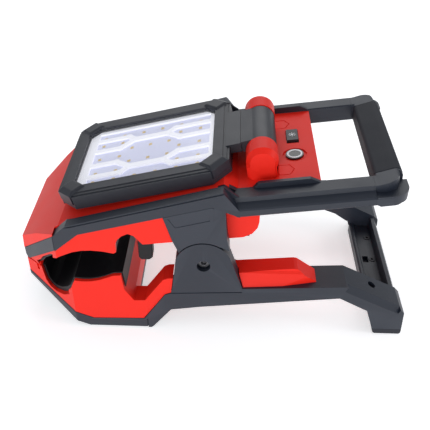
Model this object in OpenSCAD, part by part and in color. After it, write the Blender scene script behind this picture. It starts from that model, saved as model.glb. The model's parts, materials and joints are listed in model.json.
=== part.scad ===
// Clamp-on cordless work light: spring clamp of two arms, folding LED head.
// Units mm, +Z up. X runs from the closed jaws (-X) to the handles (+X).
// Origin: centre of the bounding box footprint, on the floor.

/* [View] */
// sub-part to draw, or all

/* [Lens and LEDs] */
// visible lens length along the head
lens_len = 117; // [110:0.5:118]
// visible lens width across the head
lens_w = 91; // [84:0.2:91.6]
// depth of the LED board face below the lens face
led_depth = 5; // [4.4:0.1:5.6]
// side of one LED package
led_size = 2.8; // [2:0.1:3.4]

/* [Hinge] */
// radius of the two ears
ear_r = 13; // [12.6:0.1:13.4]
// radius of the head's hinge barrel
barrel_r = 12.4; // [11.8:0.1:12.5]
// radius of the hinge pin
hinge_pin_r = 4; // [3:0.1:5]

/* [Clamp pivot] */
// radius of the pivot axle
axle_r = 5; // [4:0.1:6]
// radius of the rounded cheek top
cheek_r = 23.4; // [22.8:0.1:23.5]
// wire radius of the clamp spring
spring_wire_r = 1.4; // [1:0.1:1.6]
// coils in each clamp spring
spring_coils = 7; // [4:1:9]

/* [Controls] */
// power button length along the arm
button_x = 9.8; // [9:0.1:10]
// power button length across the arm
button_y = 18.2; // [17:0.1:18.6]
// how far the button stands above the panel
button_proud = 1.3; // [1.2:0.1:1.8]
// radius of the round badge
badge_r = 7.4; // [6.6:0.1:7.8]

/* [Fasteners] */
// radius of the small case screws
screw_r = 1.5; // [1.2:0.1:1.8]
// radius of the holes in the rear slopes
slope_hole_r = 3.6; // [3:0.1:4]

/* [Hidden] */
$fn = 64;
px = -6.7; pz = 73.3;          // clamp pivot axis
hx = 38.3; hz = 153;           // head hinge axis
deck_k = 0.2905;               // slope of the deck
function zt(x) = 118.9 + deck_k * (x + 87.2);      // top of the side bumpers
function zd(x) = zt(x) - 3.5;                      // red deck between them
function zr(x) = 148.7 + 0.1405 * (x - 99.5);      // top of the handle rails
function zp(x) = 144.9 + 0.1317 * (x - 84);        // control panel face
function zl(x) = 49.3 + 0.0573 * (x - 25.6);       // top of the lower rails
rail_a = 8; panel_a = 7.5; head_a = 14;

// ---- helpers ----
module ex(p, y0, y1) translate([0, y1, 0]) rotate([90, 0, 0]) linear_extrude(height = y1 - y0) polygon(p);
module exx(p, x0, x1) translate([x0, 0, 0]) rotate([90, 0, 90]) linear_extrude(height = x1 - x0) polygon(p);
module rodY(x, z, r, y0, y1) translate([x, y1, z]) rotate([90, 0, 0]) cylinder(r = r, h = y1 - y0);
module both() { children(); mirror([0, 1, 0]) children(); }
module flip(s) { if (s > 0) mirror([0, 1, 0]) children(); else children(); }
module H() translate([-114.9, 0, 124.3]) rotate([0, -head_a, 0]) children();
module P() translate([66.3, 0, zp(66.3)]) rotate([0, -panel_a, 0]) children();
module R() translate([20, 0, zr(20)]) rotate([0, -rail_a, 0]) children();
// plan outline of the tapered noses
module plan_up(g = 0) translate([0, 0, 30]) linear_extrude(height = 130)
  polygon([[-166.8 + g, -43 + g * 0.4], [-127.3 + g * 0.4, -80 + g], [-20, -80 + g], [-20, 80 - g], [-127.3 + g * 0.4, 80 - g], [-166.8 + g, 43 - g * 0.4]]);
module plan_lo(g = 0) translate([0, 0, -1]) linear_extrude(height = 80)
  polygon([[-166 + g, -43 + g * 0.4], [-118.3 + g * 0.4, -80 + g], [-20, -80 + g], [-20, 80 - g], [-118.3 + g * 0.4, 80 - g], [-166 + g, 43 - g * 0.4]]);

// ================= lower arm =================
module cheek_solid(y0, y1) {
  ex([[-33.9, 41], [-29.6, 77.5], [15.5, 80.6], [26, 48.9], [26, 43], [-30, 38]], y0, y1);
  rodY(px, pz, cheek_r, y0, y1);
}
jaw_top = [[-147, 46.3], [-144.4, 33.5], [-141.5, 30.4], [-137.5, 29.2], [-130.7, 31.6], [-125, 36.2], [-120.2, 42],
  [-116.6, 50.6], [-115.2, 53], [-109, 52.2], [-102.1, 52.5], [-95, 54], [-89.1, 56.4], [-82.1, 59.6], [-75.8, 60.2]];
module lower_jaw_shell() color([0.87, 0.12, 0.08]) difference() {
  intersection() {
    ex(concat([[-166, 46.3]], jaw_top, [[-74.1, 44.4], [-66.5, 31.7], [-57, 32.1], [-40.8, 56.2], [-37, 58], [-32.3, 58.4],
      [-34.3, 42.2], [-39.5, 40.1], [-59.1, 10.5], [-103.2, 9.4], [-121, 17.3], [-166.2, 32.7]]), -79.2, 79.2);
    plan_lo(0.4);
  }
  // open centre behind the clamp block
  translate([-67, -61, -1]) cube([40, 122, 70]);
  // seat for the pad
  ex([[-146.6, 47], [-144, 34.2], [-141.2, 31], [-137.5, 30], [-131, 32.3], [-125.5, 36.8], [-120.8, 42.4], [-117.2, 51],
    [-115.6, 54], [-115, 60], [-74, 62], [-72.6, 44.6], [-73.6, 44.3], [-75.5, 56.4], [-82.3, 56.1], [-89.6, 52.8], [-102.2, 48.9], [-109, 48.6], [-113.3, 49.2],
    [-116.7, 40.6], [-122.4, 34], [-129.2, 28.5], [-137.4, 26.1], [-143.3, 27.6], [-147.4, 32.3], [-150.2, 46.1], [-150.2, 47]], -76, 76);
  // hollow underside, closed by the skid plate
  both() ex([[-112, 5], [-108, 40], [-90, 44], [-84, 5]], 6, 66);
  // lip dimple
  both() translate([-153.5, -50.9, 40]) cylinder(r = 1.9, h = 10);
}
module lower_jaw_pad() color([0.06, 0.06, 0.065]) intersection() { plan_lo(3.2); ex([[-147.2, 47.2], [-144.6, 34.4], [-141.6, 31.3], [-137.5, 30.2], [-131.2, 32.6], [-125.7, 37.1],
    [-121, 42.8], [-117.4, 51.4], [-115.8, 54.2], [-109, 53.2], [-102.1, 53.4], [-95, 54.9], [-89.1, 57.2], [-82.1, 60.5], [-74.6, 61.1], [-72.8, 44.6], [-73.5, 44.5], [-75.3, 56.7],
    [-82.2, 56.3], [-89.6, 53], [-102.2, 49.1], [-109, 48.8], [-113.5, 49.5], [-116.9, 40.9], [-122.5, 34.3], [-129.3, 28.8], [-137.4, 26.3],
    [-143.1, 27.9], [-147.1, 32.5], [-149.9, 46.2], [-149.8, 47.2]], -75.9, 75.9); }
module skid_plate() color([0.16, 0.17, 0.18]) difference() {
  intersection() {
    union() {
      ex([[-166.2, 32.6], [-166.2, 27.2], [-120, 5.8], [-106.5, 0], [-55.5, 0], [-55.5, 10.5], [-103.2, 9.3], [-121, 17.2]], -80, 80);
    }
    plan_lo(0);
  }
  translate([-67, -61, -1]) cube([40, 122, 70]);
  // ribs relief on the underside
  for (x = [-98, -86, -74]) translate([x, -60, -1]) cube([7, 120, 3.4]);
}
lrail_p = [[-55.4, 0], [-52.6, 0], [-50.6, 2], [-34.9, 22.6], [-9.8, 26.8], [50, 34], [108.6, 41.2], [133.4, 27.4], [141, 6], [166.4, 6],
  [165.6, 25.6], [161.8, 29.8], [112.9, 54.3], [25.6, 49.3], [-34, 46], [-34, 42], [-39.5, 40], [-58.6, 10.5], [-55.4, 10.5]];
module lower_rail() color([0.16, 0.17, 0.18]) difference() {
  union() {
    ex(lrail_p, -80, -52);
    // deeper inner edge round the rear slope
    ex([[86, 41], [86, 37.7], [107.5, 37.6], [121.2, 32.3], [134.2, 23.2], [137, 26], [112, 44]], -57.9, -52);
    cheek_solid(-80, -66.4);
    // inner cheek
    ex([[-24, 46], [-24, 76], [11.4, 78.5], [12.6, 66], [15, 60.6], [24, 55.4], [27, 50], [27, 44], [-24, 40]], -60, -52);
    rodY(px, pz, 19.6, -60, -52);
  }
  // room for the post's tongue between the cheeks
  rodY(px, pz, 23, -66.45, -59.95);
  // axle bore and screw recess
  rodY(px, pz, axle_r, -77, -50);
  rodY(px, pz, 5.6, -81, -74.4);
  // anchor hole of the clamp spring
  rodY(px + 8.2, pz, spring_wire_r + 0.05, -56, -51);
  // chamfer along the rear slope
  translate([112.9, -80, 54.3]) rotate([0, 26.4, 0]) translate([1.5, 0, 0]) rotate([45, 0, 0]) translate([0, -3.6, -3.6]) cube([54, 7.2, 7.2]);
  // hole in the rear slope
  translate([137.7, -62, 41]) rotate([0, 26.5, 0]) translate([0, 0, -9]) cylinder(r = slope_hole_r, h = 12);
  // hollow along the rail's inner side
  ex([[32, 37.5], [106, 46], [106, 49.5], [32, 44]], -64, -51.5);
  // slimmer at the foot and beside the jaw
  translate([128, -54, -1]) cube([40, 3, 19]);
  translate([-60, -61, -1]) cube([27, 10, 60]);
  // seam between cheek and rail
  ex([[-33.9, 41.6], [25.9, 44.9], [25.9, 45.9], [-33.9, 42.6]], -80.6, -79.4);
}
module lower_rail_right() lower_rail();
module lower_rail_left() mirror([0, 1, 0]) lower_rail();
module foot_pads() color([0.1, 0.1, 0.105]) both()
  ex([[143.4, 0], [141.9, 1.4], [141.1, 5.9], [166.4, 5.9], [166.7, 5], [166.7, 1.2], [165.5, 0]], -80, -54);
module rear_crossbar() color([0.16, 0.17, 0.18]) difference() {
  ex([[137, 11], [137, 19.6], [138.4, 20.6], [140.4, 20.6], [142, 17], [156, 17], [157.2, 29], [160.4, 29], [162.6, 25], [162.6, 11.5],
    [161.4, 10], [138, 10]], -51.9, 51.9);
  for (y = [-33, 0, 33]) translate([152.5, y, 5]) cylinder(r = screw_r + 0.05, h = 20);
  for (y = [-33, 0, 33]) translate([152.5, y, 15.6]) cylinder(r = 3.3, h = 20);
  translate([143.4, -4.5, 13]) cube([5.4, 9, 6]);
  for (y = [-42, -22, 6, 26]) translate([141, y, 9]) cube([16, 15, 4.4]);
}
module csk(h = 9, hr = 2.9) {
  difference() {
    union() { cylinder(r = screw_r, h = h); translate([0, 0, h - 2]) cylinder(r = hr, h = 2); }
    translate([0, 0, h - 1.4]) cylinder(r = 1.3, h = 2, $fn = 6);
  }
}
module crossbar_screws() color([0.12, 0.12, 0.13]) for (y = [-33, 0, 33]) translate([152.5, y, 10.4]) csk(7.2, 3.1);
module link_cover() color([0.87, 0.12, 0.08]) difference() {
  intersection() {
    ex([[19.6, 45], [19.6, 61], [69, 65.8], [71.6, 65.4], [88, zl(88) + 0.6], [88, zl(88)], [32, zl(32)], [27, 45]], -79.6, -56.5);
    exx([[-56, 40], [-79.6, 40], [-79.2, 46], [-73.4, 61.5], [-71.6, 63.4], [-71, 70], [-56, 70]], 10, 100);
    linear_extrude(height = 90) polygon([[10, -50], [10, -80], [26.2, -79.7], [60, -77.2], [90, -72.4], [90, -50]]);
  }
  ex([[10, 40], [10, 83], [16.2, 82], [26.4, 49.6], [26.4, 40]], -81, -66.1);
  ex([[10, 44], [10, 70], [19.6, 60.7], [24.4, 58.2], [27.4, 50.2], [27.4, 40]], -60.3, -51);
  ex([[10, 40], [10, zl(10)], [26.5, zl(26.5)], [26.5, 40]], -70, -51);
  ex([[32, zl(32) - 1], [32, 59], [67, 62.4], [80, zl(80) - 1]], -70, -59.5);
  ex(concat([[26.3, 40]], [[26.3, 49.35], [112.9, 54.32], [112.9, 40]]), -81, -50);
}
module link_cover_right() link_cover();
module link_cover_left() mirror([0, 1, 0]) link_cover();
module pivot_axle() color([0.62, 0.63, 0.65]) difference() {
  rodY(px, pz, axle_r, -71.8, 71.8);
  both() rodY(px, pz, screw_r + 0.6, -72, -60);
}
module pivot_screws() color([0.3, 0.3, 0.32]) both() difference() {
  union() { rodY(px, pz, screw_r + 0.6, -72, -61); rodY(px, pz, 4.8, -75.6, -71.8); }
  rotate([0, 0, 0]) translate([px, -72.6, pz]) rotate([90, 0, 0]) cylinder(r = 2.5, h = 5, $fn = 6);
}
module clamp_springs() color([0.55, 0.56, 0.58]) both() union() {
  p = 2 * spring_wire_r - 0.15; y0 = -48.5;
  for (i = [0 : spring_coils - 1]) translate([px, y0 + i * p, pz]) rotate([90, 0, 0]) rotate_extrude() translate([8.2, 0]) circle(r = spring_wire_r);
  // leg anchored in the inner cheek, and the free leg that pushes the upper arm
  rodY(px + 8.2, pz, spring_wire_r * 0.96, -55.6, y0);
  translate([px + 8.2, y0 + (spring_coils - 1) * p, pz - 0.3]) cylinder(r = spring_wire_r * 0.96, h = 13.8);
}

// ================= upper arm =================
nose_band_top = [[-166.6, 57.6], [-127.3, 100.6], [-116.2, 111]];
module upper_top_shell() color([0.87, 0.12, 0.08]) difference() {
  union() {
    // nose
    intersection() {
      ex([[-166.6, 57.7], [-165.6, 72], [-147, 88.5], [-124.5, 104.4], [-120, zd(-120)], [-118, 104.4], [-122.6, 104.4], [-127.3, 100.7]], -80, 80);
      plan_up(0.3);
    }
    // deck, valley and control panel
    ex([[-126, 103.2], [-124.5, 104.4], [-121.6, zd(-121.6)], [8.4, zd(8.4)], [19.6, 136.8], [23, zp(23)], [84, zp(84)], [84, zp(84) - 3],
      [23, zp(23) - 3], [18.6, 133.6], [7, zd(7) - 3.2], [-121, zd(-121) - 3.2]], -69.9, 69.9);
  }
  // hollow nose
  intersection() {
    ex([[-164, 50], [-162.8, 70.8], [-145.6, 85.4], [-124, 100.6], [-120.6, 101.6], [-110, 90]], -80, 80);
    plan_up(3.4);
  }
  // seat of the side bumpers at the nose
  both() ex([[-127.3, 90], [-127.3, 120], [-110, 120], [-110, 90]], -81, -69.9);
  // narrower between the handle rails
  both() translate([12.5, -81, 120]) cube([80, 23, 40]);
  both() ex([[3.9, 150], [3.9, 120], [13, 120], [13, 150]], -81, -62.2);
  // button well, badge seat and mouldings
  P() translate([-5.3, 15.6 - 9.5, -6]) cube([10.6, 19, 12]);
  P() translate([-5.3, 3.4, -1.3]) cube([10.6, 4, 3]);
  P() translate([0.2, -15.2, -1.2]) cylinder(r = 10.2, h = 5);
  P() translate([0.2, -14.4, -2.2]) cylinder(r = badge_r + 0.1, h = 5);
  P() both() difference() {
    translate([-9.5, -37, -0.5]) cylinder(r = 8.6, h = 2, $fn = 6);
    translate([-9.5, -37, -1]) cylinder(r = 7.7, h = 3, $fn = 6);
  }
  // holes for the hinge ear screws
  P() both() translate([-26, -37, -5]) cylinder(r = screw_r + 0.1, h = 8);
}
module nose_bumper() color([0.16, 0.17, 0.18]) difference() {
  intersection() {
    ex([[-166.6, 57.5], [-127.4, 100.4], [-127.4, 85.25], [-161.2, 49.3], [-163.8, 47.4], [-166.4, 50.5]], -80, 80);
    plan_up(0);
  }
  intersection() {
    ex([[-170, 40], [-170, 62], [-120, 110], [-120, 60]], -90, 90);
    plan_up(4);
  }
}
module bumper_front(end, y0, y1) ex(concat([[-127.2, 85.4], [-127.2, 100.7], [-116.2, 111], [-111.6, zt(-111.6)], [8.2, zt(8.2)]], end,
  [[10.6, 128.6], [0, 133], [-38.7, 122.2], [-72.1, 112.8], [-107, 103.1]]), y0, y1);
rail_s = [[-59, 0], [-72.2, 0], [-72.8, -3.8], [-78.9, -6.2], [-80, -7.4], [-80, -12.2], [-78.9, -13.5], [-64, -15.8], [-59.4, -15.8], [-58, -14.4], [-58, -1]];
module side_frame() color([0.16, 0.17, 0.18]) difference() {
  union() {
    // side bumper, running down to the rail
    bumper_front([[21.5, 129.6], [21.5, 124.2]], -80, -71.9);
    bumper_front([[20.2, 138], [20.2, 125.4]], -72, -70);
    // handle rail
    R() exx(rail_s, -3, 103.4);
    // inner side where the rail meets the deck
    ex([[3.95, zt(3.95) - 4], [9, zt(8.2) - 3.6], [17, zr(17) - 1.2], [24, zr(24) - 1.2], [24, zr(24) - 12], [17, 125], [10.6, 128.6], [3.95, 131.2]], -70.1, -62.3);
    ex([[12.6, 140.4], [18, 137.5], [18, 125.4], [17.2, 125], [12.6, 127.5]], -62.4, -58);
    // raised lip beside the panel
    ex([[30.5, zr(30.5) - 1], [35, zr(35) + 4.2], [37, zr(37) + 4.4], [75, zr(75) + 4.4], [84, zr(84) - 0.5]], -61.4, -58);
  }
  // soft crease under the bumper's top edge
  translate([0, -80, 0]) ex([[-118, 109], [-111.6, zt(-111.6) + 0.1], [8.2, zt(8.2) + 0.1], [9.2, zt(8.2) - 0.9], [8.0, zt(8.2) - 1.6], [-111.4, zt(-111.6) - 1.6]], -0.8, 0.8);
}
module side_frame_right() side_frame();
module side_frame_left() mirror([0, 1, 0]) side_frame();
bar_p = [[124.1, 139.5], [123.9, 150.4], [125.2, 152.3], [139.8, 157.4], [143.2, 156.6], [146, 152.4], [146.2, 146], [143.8, 141.6], [140.2, 140], [127.5, 138]];
module handle_bar() color([0.16, 0.17, 0.18]) difference() {
  intersection() {
    union() {
      ex(bar_p, -79.9, 79.9);
      both() R() exx(rail_s, 103.5, 131);
    }
    // rounded plan corners
    union() {
      translate([100, -80, 120]) cube([36, 160, 50]);
      translate([100, -67, 120]) cube([49, 134, 50]);
      both() translate([136, -67, 120]) cylinder(r = 13, h = 50);
    }
  }
  // step round the corner, under the cap
  both() R() difference() {
    translate([103.6, -81, -6.2]) cube([40, 24, 20]);
    translate([100, -72.4, -8]) cube([12, 40, 30]);
    translate([112, -61.4, -8]) cylinder(r = 11, h = 30);
    translate([100, -61.4, -8]) cube([23, 40, 30]);
  }
  both() R() translate([60, -81, -30]) cube([43.5, 23.05, 60]);
  // seat for the grip sleeve
  difference() {
    translate([110, -55.6, 120]) cube([50, 111.2, 50]);
    grip_core();
  }
}
module grip_core() ex([[126.1, 141.5], [125.9, 149.3], [126.7, 150.6], [139.4, 155], [141.8, 154.2], [143.9, 151], [144.1, 146.4], [142.4, 143.4], [139.4, 142], [128.4, 140.2]], -60, 60);
module handle_grip() color([0.2, 0.2, 0.205]) difference() {
  ex([[124.3, 139.3], [124.1, 150.6], [125.4, 152.6], [139.8, 157.8], [143.8, 157], [146.4, 152.6], [146.6, 145.8], [144.1, 141.2], [140.3, 139.4], [127.5, 137.4]], -55.4, 55.4);
  ex([[126.08, 141.48], [125.88, 149.3], [126.68, 150.62], [139.4, 155.02], [141.82, 154.22], [143.92, 151.02], [144.12, 146.38], [142.42, 143.38], [139.42, 141.98], [128.4, 140.18]], -60, 60);
}
arc_p = [[-161.4, 48.9], [-151, 50.2], [-146.2, 55.4], [-141.5, 62.8], [-132.4, 73.2], [-125.3, 78.4], [-114.2, 83.6], [-106, 85.6], [-98.4, 86.1], [-88, 85.2], [-80, 83.4],
  [-77.8, 85], [-77.8, 93.4], [-75.8, 98], [-72.3, 101.6], [-67, 104.3], [-62.6, 102.4], [-55.6, 93.8]];
module upper_housing() color([0.87, 0.12, 0.08]) {
  // board standoffs with locating pegs
  P() both() { translate([-10, -34, -9.2]) cylinder(r = 3.2, h = 2.25); translate([-10, -34, -7]) cylinder(r = 1.5, h = 2.6); }
  housing_body();
}
module housing_body() difference() {
  union() {
    // jaw block
    intersection() {
      ex(concat(arc_p, [[-31.5, 97], [-38.9, 122], [-72.1, 112.7], [-107, 103], [-127.2, 85.3], [-128, 84.4]]), -78.6, 78.6);
      union() { plan_up(1); }
    }
    // inner part of the jaw block, under the deck
    intersection() {
      ex(concat(arc_p, [[-31.5, 97], [-31.5, zd(-31.5) - 3.4], [-120.4, zd(-120.4) - 3.4], [-124.4, 100.2], [-145.4, 85], [-162.4, 70.4]]), -69.8, 69.8);
      plan_up(4.2);
    }
    // belly between the posts
    difference() {
      ex([[-55.6, 92.6], [-31.5, 91], [10.9, 91.7], [25.4, 93.7], [32.4, 97.6], [36.4, 103.4], [37.6, 109.5], [37.6, 125], [24, 130], [18.4, 133.4], [7, zd(7) - 3.3], [-56, zd(-56) - 3.4]], -65.7, 65.7);
      translate([-60, -70, 85]) cube([28.5, 140, 6.4]);
    }
    // cover under the control panel
    ex([[36.4, 118], [38, 125.6], [82, 131.4], [83.4, zp(83.4) - 3.1], [23, zp(23) - 3.1], [18, 133]], -57.8, 57.8);
  }
  // seat of the jaw pad
  ex([[-153.4, 52.6], [-148.5, 57.8], [-144, 65.2], [-134.5, 75.6], [-127, 81.1], [-115.3, 86.6], [-106.4, 88.8], [-98.4, 89.3], [-87.6, 88.4], [-80.9, 86.9], [-80.9, 94],
    [-78.7, 99.4], [-74.4, 103.8], [-67.2, 107.5], [-60.8, 104.8], [-53, 95.2], [-50, 93], [-50, 88], [-60, 80], [-80, 70], [-148, 46], [-151.2, 50.2]], -74.6, 74.6);
  // cavity for the electronics
  ex([[-92, 108], [-104, 99], [-84, 95.4], [-80, 110.6], [-54, 112], [-50, 97.5], [8, 97], [22, 98.4], [30, 103.4], [32.6, 110], [33.2, 121], [38, 130.4], [79, 135.8], [79, 150], [20, 150], [-92, 130]], -56, 56);
  // clearance round the pivot cheeks, the posts and the handle rails
  both() rodY(px, pz, 25, -66.2, -50.5);
  both() ex([[-38.8, 122.2], [-31.2, 97.4], [-26.6, 86], [-26.6, 80], [16, 80], [15.5, 84.6], [12.2, 101.9], [11.4, 116], [10.6, 128.8], [-0.1, 133.1]], -81, -65.95);
  both() ex([[-34.7, 108.7], [11.5, 112.1], [12.2, 101.9], [14.4, 84.6], [14.4, 80], [-34.8, 80], [-34.8, 96], [-31.2, 97.4]], -66.2, -60.3);
  both() ex([[3.6, 200], [3.6, 131.1], [10.5, 128.3], [16.4, 124.9], [16.4, 120.4], [40, 123.6], [40, 200]], -70, -57.9);
  // deck screws
  for (x = [-40, 4]) both() translate([x, 30, 85]) { cylinder(r = 3.2, h = 9); cylinder(r = screw_r + 0.02, h = 15); }
}
module upper_jaw_pad() color([0.06, 0.06, 0.065]) intersection() {
  plan_up(3);
  ex([[-151.4, 50.5], [-146.6, 55.6], [-141.8, 63.1], [-132.6, 73.5], [-125.5, 78.7], [-114.3, 83.9], [-106, 85.9], [-98.4, 86.4], [-88, 85.5], [-78.2, 83.5],
    [-78.1, 93.4], [-76, 98.2], [-72.5, 101.9], [-67, 104.6], [-62.4, 102.6], [-55.9, 94.6], [-53.4, 95.2], [-60.9, 104.7], [-67.2, 107.4], [-74.4, 103.7], [-78.6, 99.4], [-80.8, 94],
    [-80.8, 86.7], [-87.6, 88.2], [-98.4, 89.1], [-106.3, 88.6], [-115.2, 86.4], [-126.9, 80.9], [-134.4, 75.4], [-143.8, 65], [-148.3, 57.6], [-153.2, 52.4]], -74.5, 74.5);
}
// pair of stop blocks behind the jaw
module jaw_stop_bar() color([0.06, 0.06, 0.065]) both()
  ex([[-61.5, 101.2], [-61.5, 71], [-59.5, 68.4], [-52.6, 68.4], [-49.6, 71], [-49.6, 92.2], [-53.3, 95], [-56.1, 94.4]], -68, -57);
post_p = [[-38.5, 122.1], [-0.1, 132.9], [10.4, 128.6], [11.2, 116], [12, 101.9], [15.3, 84.6], [16, 70], [-24, 70], [-26.4, 86.1], [-31, 97.4]];
module pivot_post() color([0.16, 0.17, 0.18]) difference() {
  union() {
    difference() {
      ex(post_p, -79.6, -66);
      rodY(px, pz, cheek_r + 0.7, -82, -65);
      // swept corner clearance
      translate([px, 0, pz]) ex([[0, -30], [40, -30], [40, 8.6], [25.2, 9.4], [24.4, 13.5], [20.5, 17], [14, 20.2], [0, 23]], -82, -65);
      translate([px, 0, pz]) ex([[-30, -10], [-30, 11.5], [-20, 11.5], [-20, -10]], -82, -65);
    }
    // tongue between the cheeks
    ex([[-34.5, 108.6], [11.4, 112], [12, 101.9], [14.2, 84.6], [14.2, 76], [-27, 76], [-26.4, 86.1], [-31, 97.4]], -66.1, -60.4);
    rodY(px, pz, 22, -66.1, -60.4);
    // plain raised plaque
    ex([[-38.3, 122.1], [-30.2, 109.8], [0.6, 118.6], [1.4, 132.1], [-0.1, 132.8]], -80.1, -79.5);
  }
  ex([[-34.6, 121.4], [-28.8, 112.4], [-1.6, 120.2], [-0.9, 130.6]], -80.6, -79.72);
  rodY(px, pz, axle_r + 0.06, -70, -58);
}
module pivot_post_right() pivot_post();
module pivot_post_left() mirror([0, 1, 0]) pivot_post();
module battery_dock() color([0.12, 0.12, 0.13]) difference() {
  union() {
    translate([13.5, -40, 84.6]) cube([18, 80, 6.6]);
    ex([[13.5, 84.6], [13.5, 92.4], [25.4, 94.4], [31.5, 98], [31.5, 84.6]], -20, 20);
    both() translate([13.5, -40, 76.8]) cube([18, 3, 8]);
    both() translate([13.5, -40, 74.2]) cube([18, 8.5, 3]);
  }
  ex([[10, 91.5], [10.9, 91.66], [25.4, 93.66], [32.4, 97.56], [36.4, 103.36], [36.4, 110], [10, 110]], -90, 90);
  translate([20, -13, 80]) cube([9.5, 26, 9]);
}
module terminal_block() color([0.1, 0.1, 0.1]) difference() {
  translate([20.3, -12.7, 77]) cube([8.9, 25.4, 10.6]);
  for (y = [-9, -3.5, 3.5, 9]) translate([22.5, y - 0.4, 79]) cube([8, 0.8, 12]);
}
module terminal_blades() color([0.78, 0.66, 0.35]) for (y = [-9, -3.5, 3.5, 9]) translate([22.6, y - 0.38, 79.1]) cube([6.4, 0.76, 8]);
module hinge_ear() color([0.87, 0.12, 0.08]) difference() {
  union() {
    rodY(hx, hz, ear_r, -43.6, -27);
    translate([hx, -43.58, hz]) rotate([90, 0, 0]) cylinder(r1 = ear_r, r2 = ear_r - 3.2, h = 4.4);
    ex([[hx - ear_r, hz], [hx - ear_r + 0.2, 150], [27.4, zp(27.4)], [52.6, zp(52.6)], [hx + ear_r, 150], [hx + ear_r, hz]], -43.6, -27);
    ex([[hx - ear_r + 1.6, hz], [hx - ear_r + 1.8, 150], [28.8, zp(28.8)], [51.2, zp(51.2)], [hx + ear_r - 1.6, 150], [hx + ear_r - 1.6, hz]], -46, -43.5);
    ex([[hx - ear_r + 3.2, hz], [hx - ear_r + 3.4, 150], [30.4, zp(30.4)], [49.6, zp(49.6)], [hx + ear_r - 3.2, 150], [hx + ear_r - 3.2, hz]], -47.9, -45.9);
  }
  rodY(hx, hz, hinge_pin_r, -44.2, -26);
  P() translate([-26, -37, -4]) cylinder(r = screw_r, h = 9);
}
module hinge_ear_right() hinge_ear();
module hinge_ear_left() mirror([0, 1, 0]) hinge_ear();
module hinge_pin() color([0.62, 0.63, 0.65]) rodY(hx, hz, hinge_pin_r, -44, 44);
module driver_board() color([0.05, 0.3, 0.14]) difference() {
  P() translate([-18, -40, -6.9]) cube([29, 80, 1.6]);
  P() both() translate([-10, -34, -9]) cylinder(r = 1.6, h = 8);
}
module tactile_switch() color([0.12, 0.12, 0.12]) P() {
  translate([-3, 15.6 - 3, -5.3]) cube([6, 6, 1.3]);
  translate([0, 15.6, -4.1]) cylinder(r = 1.6, h = 0.5);
}
module power_button() color([0.1, 0.1, 0.105]) P() difference() {
  union() {
    translate([-button_x / 2, 15.6 - button_y / 2 + 0.4, -1.2]) cube([button_x, button_y - 0.4, 1.2 + button_proud]);
    translate([-2.6, 15.6 - 2.6, -2.1]) cube([5.2, 5.2, 1.2]);
  }
  // plain indicator dots
  for (a = [0 : 60 : 300]) translate([2.6 * cos(a), 15.6 + 2.6 * sin(a), button_proud - 0.3]) cylinder(r = 0.55, h = 1);
  translate([0, 15.6, button_proud - 0.3]) cylinder(r = 1.1, h = 1);
}
module badge_disc() color([0.05, 0.05, 0.05]) P() difference() {
  translate([0.2, -14.4, -2.2]) cylinder(r = badge_r, h = 2.6);
  translate([0.2, -14.4, 0]) difference() { cylinder(r = 6.4, h = 2); translate([0, 0, -1]) cylinder(r = 5, h = 4); }
}
module badge_ring() color([0.9, 0.9, 0.9]) P()
  translate([0.2, -14.4, 0]) difference() { cylinder(r = 6.38, h = 0.7); translate([0, 0, -1]) cylinder(r = 5.02, h = 4); }
module housing_screws() color([0.3, 0.3, 0.32]) {
  P() both() translate([-26, -37, -5]) difference() { union() { cylinder(r = 2.8, h = 1.9); cylinder(r = screw_r - 0.05, h = 8.6); } translate([0, 0, -1]) cylinder(r = 1.3, h = 2, $fn = 6); }
  for (x = [-40, 4]) both() translate([x, 30, 102.4]) mirror([0, 0, 1])
  difference() { union() { cylinder(r = screw_r, h = 8.4); translate([0, 0, 8.4]) cylinder(r = 2.9, h = 2); } translate([0, 0, 9]) cylinder(r = 1.4, h = 3, $fn = 6); }
}

// ================= light head =================
// outline in the head's own plane, g shrinks it
module head_plan(g = 0) polygon([[-12.5 + g, -46 + g * 0.41], [2.5 + g * 0.41, -61 + g], [116 - g * 0.41, -61 + g], [131 - g, -46 + g * 0.41],
  [131 - g, 46 - g * 0.41], [116 - g * 0.41, 61 - g], [2.5 + g * 0.41, 61 - g], [-12.5 + g, 46 - g * 0.41]]);
module lens_plan(g = 0) let (l = lens_len, w = lens_w / 2) polygon([[-g, -w + 8], [8, -w - g], [l - 8, -w - g], [l + g, -w + 8],
  [l + g, w - 8], [l - 8, w + g], [8, w + g], [-g, w - 8]]);
module head_frame() color([0.16, 0.17, 0.18]) H() difference() {
  union() {
    translate([0, 0, -11.2]) linear_extrude(height = 11.6) head_plan(0);
    translate([0, 0, 0.3]) linear_extrude(height = 0.9) head_plan(2);
    translate([0, 0, 1.1]) linear_extrude(height = 0.9) head_plan(5.2);
    // thicker skirt at the free end
    ex([[-12.5, -13.2], [-12.5, -11], [100, -11], [60, -12]], -46, 46);
    // neck
    translate([128, -28, -6.2]) cube([12.2, 56, 8]);
  }
  // room for the lens
  translate([0, 0, -0.3]) linear_extrude(height = 5) lens_plan(0.3);
  translate([0, 0, -2.3]) linear_extrude(height = 2.4) lens_plan(2.2);
  translate([0, 0, -9]) linear_extrude(height = 8) lens_plan(0.6);
  // open back
  translate([0, 0, -15]) linear_extrude(height = 6.2) head_plan(5);
  // seats of the corner bumpers
  corners();
  // case screw bores
  for (x = [2, 116.5]) both() translate([x, -49.2, -9]) cylinder(r = screw_r, h = 2.8);
}
module corner_one() translate([123.5, 53.5, 0]) rotate(45) intersection() {
  ex([[-15.2, 0.3], [-15.2, 2.4], [-13.8, 3.8], [-3.4, 3.8], [0.9, 1], [0.9, -7.4], [-3, -7.4], [-3, 0.3]], -9.5, 9.5);
  exx([[-9.2, -7.5], [-9.2, 1.2], [-7.2, 4.2], [7.2, 4.2], [9.2, 1.2], [9.2, -7.5]], -20, 5);
}
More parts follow.
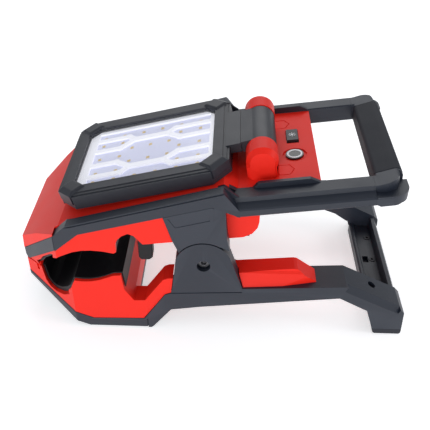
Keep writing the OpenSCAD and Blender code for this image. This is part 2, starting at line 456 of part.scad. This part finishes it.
module corners() {
  both() corner_one();
  translate([118.5, 0, 0]) mirror([1, 0, 0]) both() corner_one();
}
module corner_bumpers() color([0.13, 0.14, 0.15]) H() corners();
module head_back() color([0.14, 0.15, 0.16]) H() difference() {
  translate([0, 0, -11]) linear_extrude(height = 2.1) head_plan(5.3);
  for (i = [0 : 6]) translate([14 + i * 14, -40, -12]) cube([7, 80, 1.8]);
  for (x = [2, 116.5]) both() translate([x, -49.2, -12]) { cylinder(r = screw_r + 0.05, h = 4); cylinder(r = 2.85, h = 2.02); }
}
module head_screws() color([0.3, 0.3, 0.32]) H() for (x = [2, 116.5]) both() translate([x, -49.2, -6.4]) mirror([0, 0, 1]) difference() {
  union() { cylinder(r = screw_r, h = 3.7); translate([0, 0, 3.6]) cylinder(r = 2.6, h = 0.98); }
  translate([0, 0, 3.9]) cylinder(r = 1.2, h = 2, $fn = 6);
}
module lens() color([0.9, 0.93, 0.95, 0.35]) H() translate([0, 0, -1.3]) linear_extrude(height = 1.3) lens_plan(0.28);
module lens_gasket() color([0.08, 0.08, 0.08]) H() translate([0, 0, -2.2]) linear_extrude(height = 0.88) difference() { lens_plan(2); lens_plan(0.2); }
module led_board() color([0.86, 0.86, 0.9]) H() difference() {
  translate([0, 0, -led_depth - 1.6]) linear_extrude(height = 1.6) lens_plan(0.4);
  for (x = [8, 109]) both() translate([x, -30, -8]) cylinder(r = 1.2, h = 5);
}
led_u = [13.4, 31.4, 49.6, 67.4, 85.2, 103.2];
function led_pos() = concat(
  [for (i = [0 : 5]) for (s = [-1, 1]) [led_u[i], s * 35.1]],
  [for (i = [0, 1, 4, 5]) for (s = [-1, 1]) [led_u[i], s * 22.4]],
  [for (u = [41.6, 58.5, 75.4]) for (s = [-1, 1]) [u, s * 10.7]],
  [for (i = [0, 1, 4, 5]) [led_u[i], 0]]);
module leds() color([0.95, 0.82, 0.35]) H() for (p = led_pos())
  translate([p[0] - led_size / 2, p[1] - led_size / 2, -led_depth]) cube([led_size, led_size, 0.7]);
// white light-shaping ribs between the LED rows, as raised bars with a six-sided ring in the middle
module rib(a, b, w) {
  d = b - a; n = norm(d); a0 = atan2(d[1], d[0]);
  translate([a[0], a[1]]) rotate(a0) translate([-w / 2, -w / 2]) square([n + w, w]);
}
module reflector() color([0.95, 0.95, 0.96]) H() translate([0, 0, -led_depth + 0.75]) difference() {
  union() {
    linear_extrude(height = 1.7) difference() {
      union() {
        // outer rim
        difference() { lens_plan(0); translate([8, -lens_w / 2 + 4.4]) square([lens_len - 12.4, lens_w - 8.8]); }
        for (s = [-1, 1]) {
          rib([4, s * 29], [37, s * 29], 5);  rib([81, s * 29], [115, s * 29], 5);
          rib([37, s * 29], [44, s * 22], 5); rib([81, s * 29], [73, s * 22], 5);
          rib([44, s * 22], [73, s * 22], 6.5);
          rib([4, s * 11.4], [31, s * 11.4], 5); rib([86, s * 11.4], [115, s * 11.4], 5);
          rib([31, s * 11.4], [42, s * 20.5], 5); rib([86, s * 11.4], [75, s * 20.5], 5);
        }
      }
      for (p = led_pos()) translate([p[0], p[1]]) square(led_size + 1.6, center = true);
    }
  }
}
module hinge_barrel() color([0.16, 0.17, 0.18]) difference() {
  union() {
    rodY(hx, hz, barrel_r, -26.6, 26.6);
    ex([[22.8, 151.9], [20.9, 159.7], [30, 162.6], [36, 165.1], [hx, hz], [30, 148.6]], -26.6, 26.6);
  }
  rodY(hx, hz, hinge_pin_r + 0.05, -30, 30);
}

lower_jaw_shell();
lower_jaw_pad();
skid_plate();
lower_rail_left();
lower_rail_right();
rear_crossbar();
crossbar_screws();
link_cover_left();
link_cover_right();
pivot_axle();
pivot_screws();
clamp_springs();
foot_pads();
upper_top_shell();
nose_bumper();
side_frame_left();
side_frame_right();
handle_bar();
handle_grip();
upper_housing();
upper_jaw_pad();
jaw_stop_bar();
pivot_post_left();
pivot_post_right();
battery_dock();
terminal_block();
terminal_blades();
hinge_ear_left();
hinge_ear_right();
hinge_pin();
driver_board();
tactile_switch();
badge_disc();
badge_ring();
housing_screws();
power_button();
head_frame();
corner_bumpers();
head_back();
lens();
lens_gasket();
reflector();
led_board();
leds();
hinge_barrel();
head_screws();
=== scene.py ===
import bpy, bmesh, math, json
from math import radians, sin, cos, pi
from mathutils import Vector, Matrix

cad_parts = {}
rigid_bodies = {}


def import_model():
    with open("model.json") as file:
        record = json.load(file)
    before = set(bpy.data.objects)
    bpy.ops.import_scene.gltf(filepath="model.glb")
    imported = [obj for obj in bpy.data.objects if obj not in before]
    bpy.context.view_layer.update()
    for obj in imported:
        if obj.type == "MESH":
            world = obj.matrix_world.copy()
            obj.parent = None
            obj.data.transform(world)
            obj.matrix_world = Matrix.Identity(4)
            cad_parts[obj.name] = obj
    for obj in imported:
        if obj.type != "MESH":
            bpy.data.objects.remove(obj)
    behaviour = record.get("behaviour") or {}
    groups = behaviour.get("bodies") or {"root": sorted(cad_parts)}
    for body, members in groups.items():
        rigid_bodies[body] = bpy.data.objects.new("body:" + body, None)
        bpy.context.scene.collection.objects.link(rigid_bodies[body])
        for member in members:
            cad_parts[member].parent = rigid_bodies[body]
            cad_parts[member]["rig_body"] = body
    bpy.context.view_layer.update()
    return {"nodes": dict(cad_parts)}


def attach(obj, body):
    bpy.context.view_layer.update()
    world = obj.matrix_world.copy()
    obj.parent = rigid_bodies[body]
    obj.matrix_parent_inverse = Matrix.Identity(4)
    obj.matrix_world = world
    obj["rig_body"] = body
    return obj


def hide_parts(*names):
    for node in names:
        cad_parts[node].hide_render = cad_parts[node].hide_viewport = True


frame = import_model()
N = frame["nodes"]
BODY = {n: N[n]["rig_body"] for n in N}
scene = bpy.context.scene
COL = scene.collection


# ---------------------------------------------------------------- materials
def lin(r, g, b):
    f = lambda c: (c / 255) / 12.92 if c <= 10.3 else ((c / 255 + 0.055) / 1.055) ** 2.4
    return (f(r), f(g), f(b), 1.0)


def plastic(name, rgb, rough=0.45, grain=2600, grain_h=0.00004, wear=0.25, wear_rgb=None, spec=0.5, coat=0.0, mottle=0.07, dust=0.0):
    """Moulded plastic: fine spark texture, uneven gloss, slightly rubbed edges, faint scuffs."""
    m = bpy.data.materials.new(name)
    m.use_nodes = True
    t = m.node_tree
    p = t.nodes["Principled BSDF"]
    L = t.links.new

    def node(kind, **kw):
        n = t.nodes.new(kind)
        for k, v in kw.items():
            setattr(n, k, v)
        return n

    tc = node("ShaderNodeTexCoord")
    # fine grain
    gr = node("ShaderNodeTexNoise"); gr.inputs["Scale"].default_value = grain; gr.inputs["Detail"].default_value = 3.0
    L(tc.outputs["Object"], gr.inputs["Vector"])
    big = node("ShaderNodeTexNoise"); big.inputs["Scale"].default_value = 45; big.inputs["Detail"].default_value = 4.0
    L(tc.outputs["Object"], big.inputs["Vector"])
    # long scuffs
    mp = node("ShaderNodeMapping"); mp.inputs["Scale"].default_value = (60, 420, 420); mp.inputs["Rotation"].default_value = (0.2, 0.5, 0.7)
    L(tc.outputs["Object"], mp.inputs["Vector"])
    sc = node("ShaderNodeTexNoise"); sc.inputs["Scale"].default_value = 1.0; sc.inputs["Detail"].default_value = 6.0; sc.inputs["Roughness"].default_value = 0.7
    L(mp.outputs["Vector"], sc.inputs["Vector"])
    scr = node("ShaderNodeValToRGB"); scr.color_ramp.elements[0].position = 0.66; scr.color_ramp.elements[1].position = 0.72
    L(sc.outputs["Fac"], scr.inputs["Fac"])
    # colour
    base = node("ShaderNodeMix", data_type="RGBA"); base.inputs[0].default_value = 0.5
    c = rgb
    base.inputs[6].default_value = (c[0] * (1 - mottle), c[1] * (1 - mottle), c[2] * (1 - mottle), 1)
    base.inputs[7].default_value = (min(1, c[0] * (1 + mottle)), min(1, c[1] * (1 + mottle)), min(1, c[2] * (1 + mottle)), 1)
    L(big.outputs["Fac"], base.inputs[0])
    out = base.outputs[2]
    if wear > 0:
        geo = node("ShaderNodeNewGeometry")
        wr = node("ShaderNodeValToRGB"); wr.color_ramp.elements[0].position = 0.53; wr.color_ramp.elements[1].position = 0.64
        L(geo.outputs["Pointiness"], wr.inputs["Fac"])
        mul = node("ShaderNodeMath", operation="MULTIPLY"); mul.inputs[1].default_value = wear
        L(wr.outputs["Color"], mul.inputs[0])
        mw = node("ShaderNodeMix", data_type="RGBA")
        w = wear_rgb or tuple(min(1, x * 1.5 + 0.02) for x in c[:3]) + (1,)
        mw.inputs[7].default_value = w
        L(mul.outputs[0], mw.inputs[0]); L(out, mw.inputs[6])
        out = mw.outputs[2]
    sm = node("ShaderNodeMath", operation="MULTIPLY"); sm.inputs[1].default_value = 0.10
    L(scr.outputs["Color"], sm.inputs[0])
    ms = node("ShaderNodeMix", data_type="RGBA"); ms.inputs[7].default_value = tuple(min(1, x * 1.3 + 0.04) for x in c[:3]) + (1,)
    L(sm.outputs[0], ms.inputs[0]); L(out, ms.inputs[6])
    L(ms.outputs[2], p.inputs["Base Color"])
    # roughness
    mr = node("ShaderNodeMapRange"); mr.inputs["To Min"].default_value = rough - 0.07; mr.inputs["To Max"].default_value = rough + 0.09
    L(big.outputs["Fac"], mr.inputs["Value"])
    ra = node("ShaderNodeMath", operation="ADD"); rb = node("ShaderNodeMath", operation="MULTIPLY"); rb.inputs[1].default_value = 0.12
    L(scr.outputs["Color"], rb.inputs[0]); L(mr.outputs["Result"], ra.inputs[0]); L(rb.outputs[0], ra.inputs[1])
    L(ra.outputs[0], p.inputs["Roughness"])
    # grain relief
    b = node("ShaderNodeBump"); b.inputs["Strength"].default_value = 0.55; b.inputs["Distance"].default_value = grain_h
    L(gr.outputs["Fac"], b.inputs["Height"]); L(b.outputs["Normal"], p.inputs["Normal"])
    p.inputs["Specular IOR Level"].default_value = spec
    p.inputs["Coat Weight"].default_value = coat
    p.inputs["Coat Roughness"].default_value = 0.25
    m.diffuse_color = rgb
    return m


def metal(name, rgb, rough=0.3, brush=True):
    m = bpy.data.materials.new(name); m.use_nodes = True
    t = m.node_tree; p = t.nodes["Principled BSDF"]; L = t.links.new
    tc = t.nodes.new("ShaderNodeTexCoord"); mp = t.nodes.new("ShaderNodeMapping")
    mp.inputs["Scale"].default_value = (900, 60, 900) if brush else (700, 700, 700)
    n = t.nodes.new("ShaderNodeTexNoise"); n.inputs["Scale"].default_value = 1.0; n.inputs["Detail"].default_value = 5
    L(tc.outputs["Object"], mp.inputs["Vector"]); L(mp.outputs["Vector"], n.inputs["Vector"])
    mr = t.nodes.new("ShaderNodeMapRange"); mr.inputs["To Min"].default_value = rough - 0.1; mr.inputs["To Max"].default_value = rough + 0.15
    L(n.outputs["Fac"], mr.inputs["Value"]); L(mr.outputs["Result"], p.inputs["Roughness"])
    b = t.nodes.new("ShaderNodeBump"); b.inputs["Strength"].default_value = 0.3; b.inputs["Distance"].default_value = 0.00003
    L(n.outputs["Fac"], b.inputs["Height"]); L(b.outputs["Normal"], p.inputs["Normal"])
    p.inputs["Base Color"].default_value = rgb
    p.inputs["Metallic"].default_value = 1.0
    m.diffuse_color = rgb
    return m


RED = plastic("red_plastic", (0.80, 0.020, 0.010, 1), 0.42, wear=0.06, spec=0.17, mottle=0.04)
DARK = plastic("dark_plastic", lin(22, 29, 42), 0.44, grain=2100, grain_h=0.00007, wear=0.3, spec=0.52, mottle=0.1)
DARK2 = plastic("head_plastic", lin(20, 24, 35), 0.44, grain=2200, grain_h=0.00006, wear=0.35, spec=0.6, mottle=0.08)
SOFT = plastic("soft_bumper", lin(36, 38, 46), 0.62, grain=1500, grain_h=0.0001, wear=0.15, spec=0.35, mottle=0.12)
GRIP = plastic("soft_grip", lin(33, 35, 42), 0.66, grain=1300, grain_h=0.00012, wear=0.12, spec=0.32, mottle=0.12)
BLACK = plastic("black_plastic", lin(30, 30, 34), 0.4, wear=0.2)
PAD = plastic("pad_rubber", lin(14, 13, 17), 0.5, grain=900, grain_h=0.00012, wear=0.2, spec=0.35, mottle=0.2)
WHITE = plastic("white_reflector", (0.95, 0.95, 0.97, 1), 0.35, wear=0.0, mottle=0.01)
BOARD = plastic("led_board", lin(220, 222, 240), 0.5, wear=0.0, mottle=0.03)
PCB = plastic("green_board", lin(20, 92, 50), 0.35, wear=0.0)
PRINT = plastic("white_print", (0.85, 0.86, 0.88, 1), 0.45, wear=0.0, mottle=0.02)
# painted light: a faint self-glow on the white reflector and the LED board stands in for light reaching them through
# the lens; the lamp is not switched on
for _m, _c, _e in ((WHITE, (1, 1, 1, 1), 0.26), (BOARD, lin(214, 217, 240), 0.20)):
    _m.node_tree.nodes["Principled BSDF"].inputs["Emission Color"].default_value = _c
    _m.node_tree.nodes["Principled BSDF"].inputs["Emission Strength"].default_value = _e
BADGE = plastic("badge_black", lin(18, 18, 20), 0.22, wear=0.0, spec=0.6)
STEEL = metal("zinc_steel", (0.60, 0.61, 0.63, 1), 0.32)
SPRING = metal("spring_steel", (0.36, 0.37, 0.39, 1), 0.36, False)
BOLT = metal("blackened_screw", (0.16, 0.16, 0.17, 1), 0.4, False)
BLACKSCREW = metal("dark_screw", (0.05, 0.05, 0.055, 1), 0.45, False)
BRASS = metal("contact_brass", (0.83, 0.63, 0.28, 1), 0.3)

LEDM = bpy.data.materials.new("led_phosphor"); LEDM.use_nodes = True
_t = LEDM.node_tree; _p = _t.nodes["Principled BSDF"]
_n = _t.nodes.new("ShaderNodeTexNoise"); _n.inputs["Scale"].default_value = 900
_r = _t.nodes.new("ShaderNodeValToRGB"); _r.color_ramp.elements[0].color = lin(226, 176, 84); _r.color_ramp.elements[1].color = lin(246, 226, 150)
_tc = _t.nodes.new("ShaderNodeTexCoord"); _t.links.new(_tc.outputs["Object"], _n.inputs["Vector"])
_t.links.new(_n.outputs["Fac"], _r.inputs["Fac"]); _t.links.new(_r.outputs["Color"], _p.inputs["Base Color"])
_p.inputs["Roughness"].default_value = 0.4
_p.inputs["Subsurface Weight"].default_value = 0.0

# clear cover: lets the board show through, with a soft sheen and faint haze
LENS = bpy.data.materials.new("clear_lens"); LENS.use_nodes = True
_t = LENS.node_tree
for n in list(_t.nodes):
    if n.type != "OUTPUT_MATERIAL":
        _t.nodes.remove(n)
_o = [n for n in _t.nodes if n.type == "OUTPUT_MATERIAL"][0]
tr = _t.nodes.new("ShaderNodeBsdfTransparent"); tr.inputs["Color"].default_value = (0.97, 0.97, 0.985, 1)
gl = _t.nodes.new("ShaderNodeBsdfGlossy"); gl.inputs["Roughness"].default_value = 0.12
df = _t.nodes.new("ShaderNodeBsdfDiffuse"); df.inputs["Color"].default_value = (0.80, 0.82, 0.90, 1)
fr = _t.nodes.new("ShaderNodeFresnel"); fr.inputs["IOR"].default_value = 1.45
hz = _t.nodes.new("ShaderNodeTexNoise"); hz.inputs["Scale"].default_value = 30; hz.inputs["Detail"].default_value = 5
tc = _t.nodes.new("ShaderNodeTexCoord"); _t.links.new(tc.outputs["Object"], hz.inputs["Vector"])
mh = _t.nodes.new("ShaderNodeMapRange"); mh.inputs["To Min"].default_value = 0.03; mh.inputs["To Max"].default_value = 0.08
_t.links.new(hz.outputs["Fac"], mh.inputs["Value"])
m1 = _t.nodes.new("ShaderNodeMixShader"); _t.links.new(mh.outputs["Result"], m1.inputs[0])
_t.links.new(tr.outputs[0], m1.inputs[1]); _t.links.new(df.outputs[0], m1.inputs[2])
m2 = _t.nodes.new("ShaderNodeMixShader"); geo = _t.nodes.new("ShaderNodeNewGeometry"); inv = _t.nodes.new("ShaderNodeMath"); inv.operation = "SUBTRACT"; inv.inputs[0].default_value = 1.0
_t.links.new(geo.outputs["Backfacing"], inv.inputs[1])
fx = _t.nodes.new("ShaderNodeMath"); fx.operation = "MULTIPLY"; _t.links.new(fr.outputs[0], fx.inputs[0]); _t.links.new(inv.outputs[0], fx.inputs[1])
_t.links.new(fx.outputs[0], m2.inputs[0])
_t.links.new(m1.outputs[0], m2.inputs[1]); _t.links.new(gl.outputs[0], m2.inputs[2])
_t.links.new(m2.outputs[0], _o.inputs["Surface"])


# ---------------------------------------------------------------- pieces from the CAD surfaces
def merge_flats(bm, tol=radians(1.0)):
    """Merge each flat patch into one face. A patch with holes is cut through them first, so no face spans a hole."""
    keep = bm.edges.layers.int.new("keep")

    def flood():
        seen = set(); out = []
        for f in bm.faces:
            if f in seen:
                continue
            st = [f]; seen.add(f); reg = []; n0 = f.normal
            while st:
                g = st.pop(); reg.append(g)
                for ed in g.edges:
                    if ed[keep] or len(ed.link_faces) != 2:
                        continue
                    h = ed.link_faces[0] if ed.link_faces[1] is g else ed.link_faces[1]
                    if h not in seen and n0.angle(h.normal, 9) < tol:
                        seen.add(h); st.append(h)
            out.append(reg)
        return out

    def parts(reg):
        vs = {v for f in reg for v in f.verts}; es = {ed for f in reg for ed in f.edges}
        return vs, es

    for _ in range(7):
        bm.normal_update()
        bad = []
        for reg in flood():
            if len(reg) > 1:
                vs, es = parts(reg)
                if len(vs) - len(es) + len(reg) != 1:
                    bad.append(reg)
        if not bad:
            break
        for reg in bad:
            reg = [f for f in reg if f.is_valid]
            vs, es = parts(reg); inside = set(reg)
            rim = [ed for ed in es if sum(1 for f in ed.link_faces if f in inside) == 1]
            link = {}
            for ed in rim:
                for v in ed.verts:
                    link.setdefault(v, []).append(ed)
            loops = []; used = set()
            for ed in rim:
                if ed in used:
                    continue
                st = [ed]; used.add(ed); lp = set()
                while st:
                    q = st.pop(); lp.update(q.verts)
                    for v in q.verts:
                        for w in link[v]:
                            if w not in used:
                                used.add(w); st.append(w)
                loops.append([v.co.copy() for v in lp])
            box = lambda P: [max(c[i] for c in P) - min(c[i] for c in P) for i in range(3)]
            loops.sort(key=lambda P: -sum(box(P)))
            ext = box(loops[0]); n = reg[0].normal
            ax = max(range(3), key=lambda i: ext[i] * (0 if abs(n[i]) > 0.9 else 1))
            pn = Vector([1.0 if i == ax else 0.0 for i in range(3)])
            for P in loops[1:] or [loops[0]]:
                c = sum(P, Vector()) / len(P)
                faces = [f for f in bm.faces if f in inside or (f.is_valid and n.angle(f.normal, 9) < tol and abs((f.calc_center_median() - c).dot(n)) < 2e-5)]
                geom = list({v for f in faces for v in f.verts}) + list({ed for f in faces for ed in f.edges}) + faces
                r = bmesh.ops.bisect_plane(bm, geom=geom, dist=1e-7, plane_co=c + pn * 1.3e-6, plane_no=pn)
                for g in r["geom_cut"]:
                    if isinstance(g, bmesh.types.BMEdge):
                        g[keep] = 1
                inside = {f for f in bm.faces if f.is_valid and n.angle(f.normal, 9) < tol and abs((f.calc_center_median() - c).dot(n)) < 2e-5}
    bm.normal_update()
    for reg in flood():
        reg = [f for f in reg if f.is_valid]
        if len(reg) > 1:
            vs, es = parts(reg)
            if len(vs) - len(es) + len(reg) == 1:
                bmesh.ops.dissolve_faces(bm, faces=reg, use_verts=False)
    line = [v for v in bm.verts if len(v.link_edges) == 2 and v.calc_edge_angle(9) < radians(0.6)]
    bmesh.ops.dissolve_verts(bm, verts=line)
    bm.normal_update()


def skin(node, mat, bevel=0.8, seg=3, ang=14):
    """A clean copy of a CAD node's surface with flat faces merged and its edges rounded; stands for that node."""
    src = N[node]
    me = bpy.data.meshes.new("skin_" + node)
    bm = bmesh.new(); bm.from_mesh(src.data)
    bmesh.ops.remove_doubles(bm, verts=bm.verts, dist=1.5e-6)
    bmesh.ops.dissolve_degenerate(bm, dist=1e-6, edges=bm.edges)
    merge_flats(bm)
    for f in bm.faces:
        f.smooth = node != "lens"
    if bevel:
        # edge rounding, less where a neighbouring step is small
        wl = bm.edges.layers.float.new("bevel_weight_edge")
        for ed in bm.edges:
            if len(ed.link_faces) != 2 or ed.calc_face_angle(0) < radians(ang):
                continue
            lim = bevel / 1000
            d0 = (ed.verts[1].co - ed.verts[0].co).normalized()
            for f in ed.link_faces:
                for v in ed.verts:
                    for q in v.link_edges:
                        if q is not ed and q in f.edges:
                            d = (q.verts[1].co - q.verts[0].co)
                            ln = d.length
                            if ln > 0 and abs(d.normalized().dot(d0)) < 0.87:
                                lim = min(lim, 0.44 * ln)
            ed[wl] = max(0.0, min(1.0, lim / (bevel / 1000)))
    if not bevel:
        for ed in bm.edges:
            ed.smooth = not (len(ed.link_faces) == 2 and ed.calc_face_angle(0) > radians(40))
    bm.to_mesh(me); bm.free()
    o = bpy.data.objects.new("skin_" + node, me)
    COL.objects.link(o)
    me.materials.append(mat)
    if bevel:
        b = o.modifiers.new("round", "BEVEL"); b.width = bevel / 1000; b.segments = seg; b.limit_method = "WEIGHT"
        b.use_clamp_overlap = True; b.miter_outer = "MITER_ARC"; b.profile = 0.5; b.loop_slide = True;
    w = o.modifiers.new("shade", "WEIGHTED_NORMAL"); w.keep_sharp = True; w.weight = 90
    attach(o, BODY[node]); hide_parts(node)
    return o


RS, DF, SB, PR, ST, BP = "red_shell", "dark_frame", "soft_bumper", "pad_rubber", "steel", "black_plastic"
for node, mat, bev, slot in [
    ("lower_jaw_shell", RED, 0.9, RS), ("link_cover_left", RED, 1.3, RS), ("link_cover_right", RED, 1.3, RS),
    ("upper_top_shell", RED, 0.8, RS), ("upper_housing", RED, 0.9, RS), ("hinge_ear_left", RED, 1.5, RS), ("hinge_ear_right", RED, 1.5, RS),
    ("skid_plate", DARK, 1.4, DF), ("lower_rail_left", DARK, 1.5, DF), ("lower_rail_right", DARK, 1.5, DF), ("rear_crossbar", DARK, 0.7, DF),
    ("nose_bumper", DARK, 1.4, DF), ("side_frame_left", DARK, 1.5, DF), ("side_frame_right", DARK, 1.5, DF), ("handle_bar", DARK, 1.8, DF),
    ("pivot_post_left", DARK, 0.5, DF), ("pivot_post_right", DARK, 0.5, DF), ("head_frame", DARK2, 1.0, DF), ("head_back", DARK, 0.4, DF),
    ("hinge_barrel", DARK2, 0.6, DF), ("battery_dock", BLACK, 0.5, BP), ("terminal_block", BLACK, 0.3, BP), ("tactile_switch", BLACK, 0.1, BP),
    ("power_button", BLACK, 0.4, BP), ("handle_grip", GRIP, 1.6, SB), ("corner_bumpers", DARK2, 0.9, SB), ("foot_pads", SOFT, 1.0, SB),
    ("lower_jaw_pad", PAD, 0.6, PR), ("upper_jaw_pad", PAD, 0.6, PR), ("jaw_stop_bar", PAD, 1.0, PR), ("lens_gasket", PAD, 0.2, PR),
    ("pivot_axle", STEEL, 0.3, ST), ("hinge_pin", STEEL, 0.3, ST), ("pivot_screws", BOLT, 0.25, ST), ("crossbar_screws", BLACKSCREW, 0.2, ST),
    ("housing_screws", BOLT, 0.2, ST), ("head_screws", BOLT, 0.2, ST), ("terminal_blades", BRASS, 0.08, "contact_brass"),
    ("driver_board", PCB, 0.1, "circuit_board"), ("badge_disc", BADGE, 0.25, "badge_black"), ("badge_ring", PRINT, 0.08, "badge_white"),
    ("reflector", WHITE, 0.35, "reflector_white"), ("led_board", BOARD, 0.1, "led_board"), ("leds", LEDM, 0.3, "led_chip"),
]:
    skin(node, mat, bev, ang=26 if node in ("lower_jaw_shell", "upper_housing", "lower_jaw_pad", "upper_jaw_pad") else 14)
lens = skin("lens", LENS, 0)
lens.visible_shadow = False



def mesh_obj(name, bm, mat, body):
    me = bpy.data.meshes.new(name); bm.normal_update(); bm.to_mesh(me); bm.free()
    o = bpy.data.objects.new(name, me); COL.objects.link(o); me.materials.append(mat)
    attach(o, body)
    return o


def tube(bm, pts, r, seg=12):
    """Round wire along a list of points, capped."""
    rings = []; prev = None
    for i, q in enumerate(pts):
        d = (pts[min(i + 1, len(pts) - 1)] - pts[max(i - 1, 0)]).normalized()
        if prev is None:
            n = d.orthogonal().normalized()
        else:
            n = (prev - d * prev.dot(d)).normalized()
        prev = n; bn = d.cross(n)
        rings.append([bm.verts.new(q + (n * cos(2 * pi * k / seg) + bn * sin(2 * pi * k / seg)) * r) for k in range(seg)])
    for a, b in zip(rings, rings[1:]):
        for k in range(seg):
            f = bm.faces.new((a[k], a[(k + 1) % seg], b[(k + 1) % seg], b[k])); f.smooth = True
    bm.faces.new(rings[0][::-1]); bm.faces.new(rings[-1])


# torsion springs wound round the axle, one each side
PX, PZ, SR, WR = -0.0067, 0.0733, 0.0082, 0.0014
sb = bmesh.new()
for side in (-1, 1):
    n = 6.5; y0 = side * 0.0485; y1 = side * 0.0325
    pts = [Vector((PX + SR, side * 0.0555, PZ)), Vector((PX + SR, side * 0.052, PZ))]
    for i in range(int(n * 28) + 1):
        f = i / (n * 28); th = 2 * pi * (n - 0.5) * f
        pts.append(Vector((PX + SR * cos(th), y0 + (y1 - y0) * f, PZ + SR * sin(th) * side)))
    # free leg up to the moving arm
    lx = pts[-1].x; ly = pts[-1].y
    pts += [Vector((lx, ly, PZ + 0.004)), Vector((lx, ly, PZ + 0.0125))]
    tube(sb, pts, WR * 0.96)
spr = mesh_obj("wound_springs", sb, SPRING, BODY["clamp_springs"])
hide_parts("clamp_springs")


def panel(x, y, z):
    """Point in the control panel's own plane, mm, to metres in the frame."""
    a = radians(7.5); X = 66.3 + x * cos(a) - z * sin(a); Z = 144.9 + 0.1317 * (66.3 - 84) + x * sin(a) + z * cos(a)
    return Vector((X, y, Z)) / 1000


def slab(bm, cx, cy, ang, l, w, z0, z1, fr):
    vs = []
    for z in (z0, z1):
        for sx, sy in ((-1, -1), (1, -1), (1, 1), (-1, 1)):
            dx, dy = sx * l / 2, sy * w / 2
            vs.append(bm.verts.new(fr(cx + dx * cos(ang) - dy * sin(ang), cy + dx * sin(ang) + dy * cos(ang), z)))
    for q in ((3, 2, 1, 0), (4, 5, 6, 7), (0, 1, 5, 4), (1, 2, 6, 5), (2, 3, 7, 6), (3, 0, 4, 7)):
        bm.faces.new([vs[i] for i in q])


def puck(bm, cx, cy, r, z0, z1, fr, seg=24):
    a = [bm.verts.new(fr(cx + r * cos(2 * pi * k / seg), cy + r * sin(2 * pi * k / seg), z0)) for k in range(seg)]
    b = [bm.verts.new(fr(cx + r * cos(2 * pi * k / seg), cy + r * sin(2 * pi * k / seg), z1)) for k in range(seg)]
    bm.faces.new(a[::-1]); bm.faces.new(b)
    for k in range(seg):
        f = bm.faces.new((a[k], a[(k + 1) % seg], b[(k + 1) % seg], b[k])); f.smooth = True


# plain light symbol printed on the button: a dot with eight short rays
sy = bmesh.new()
puck(sy, 0, 15.9, 0.95, 0.9, 1.34, panel)
for k in range(8):
    th = pi / 4 * k
    slab(sy, 2.35 * cos(th), 15.9 + 2.35 * sin(th), th, 1.7, 0.55, 1.05, 1.34, panel)
mesh_obj("button_symbol", sy, PRINT, BODY["power_button"])

# ---------------------------------------------------------------- stage
fm = bpy.data.meshes.new("floor"); fbm = bmesh.new()
vs = [fbm.verts.new(c) for c in ((-9, -9, 0), (9, -9, 0), (9, 9, 0), (-9, 9, 0))]
fbm.faces.new(vs); fbm.to_mesh(fm); fbm.free()
floor = bpy.data.objects.new("floor", fm); COL.objects.link(floor)
floor.location.z = -0.0002
FM = bpy.data.materials.new("floor_white"); FM.use_nodes = True
fp = FM.node_tree.nodes["Principled BSDF"]; fp.inputs["Base Color"].default_value = (0.93, 0.93, 0.94, 1); fp.inputs["Roughness"].default_value = 0.85
fp.inputs["Specular IOR Level"].default_value = 0.1
fp.inputs["Emission Color"].default_value = (1, 1, 1, 1); fp.inputs["Emission Strength"].default_value = 0.5
fm.materials.append(FM)

world = bpy.data.worlds.new("studio"); scene.world = world; world.use_nodes = True
world.node_tree.nodes["Background"].inputs["Color"].default_value = (0.92, 0.95, 1.0, 1)
world.node_tree.nodes["Background"].inputs["Strength"].default_value = 0.47


def area(name, loc, target, size, power, col=(1, 1, 1)):
    d = bpy.data.lights.new(name, "AREA"); d.shape = "RECTANGLE"; d.size = size[0]; d.size_y = size[1]; d.energy = power; d.color = col
    o = bpy.data.objects.new(name, d); COL.objects.link(o); o.location = loc
    o.rotation_euler = (Vector(target) - Vector(loc)).to_track_quat("-Z", "Y").to_euler()
    return o


area("key", (-0.35, -1.5, 0.45), (0, 0, 0.08), (1.1, 0.7), 11.5)
area("back", (0.15, 1.2, 1.35), (0, 0, 0.1), (1.6, 1.1), 7)
sheen = area("sheen", (-0.2, 1.5, 1.0), (0, 0, 0.1), (1.8, 0.9), 3.2)
sheen.visible_diffuse = False
area("rim", (1.2, -0.2, 0.6), (0, 0, 0.1), (0.6, 0.6), 4)

cam = bpy.data.cameras.new("cam"); cam.lens = 53.92; cam.sensor_width = 36; cam.sensor_fit = "HORIZONTAL"; cam.clip_start = 0.01
co = bpy.data.objects.new("cam", cam); COL.objects.link(co)
a, e, r = radians(1.274), radians(37.068), radians(0.683)
back = Vector((sin(a) * cos(e), -cos(a) * cos(e), sin(e))); fwd = -back
right = fwd.cross(Vector((0, 0, 1))).normalized(); up = right.cross(fwd)
R = cos(r) * right + sin(r) * up; U = -sin(r) * right + cos(r) * up
co.matrix_world = Matrix(((R.x, U.x, back.x, 0.011), (R.y, U.y, back.y, -0.4746), (R.z, U.z, back.z, 0.4246), (0, 0, 0, 1)))
scene.camera = co
scene.view_settings.view_transform = "Standard"
scene.view_settings.look = "None"
scene.view_settings.exposure = 0.0
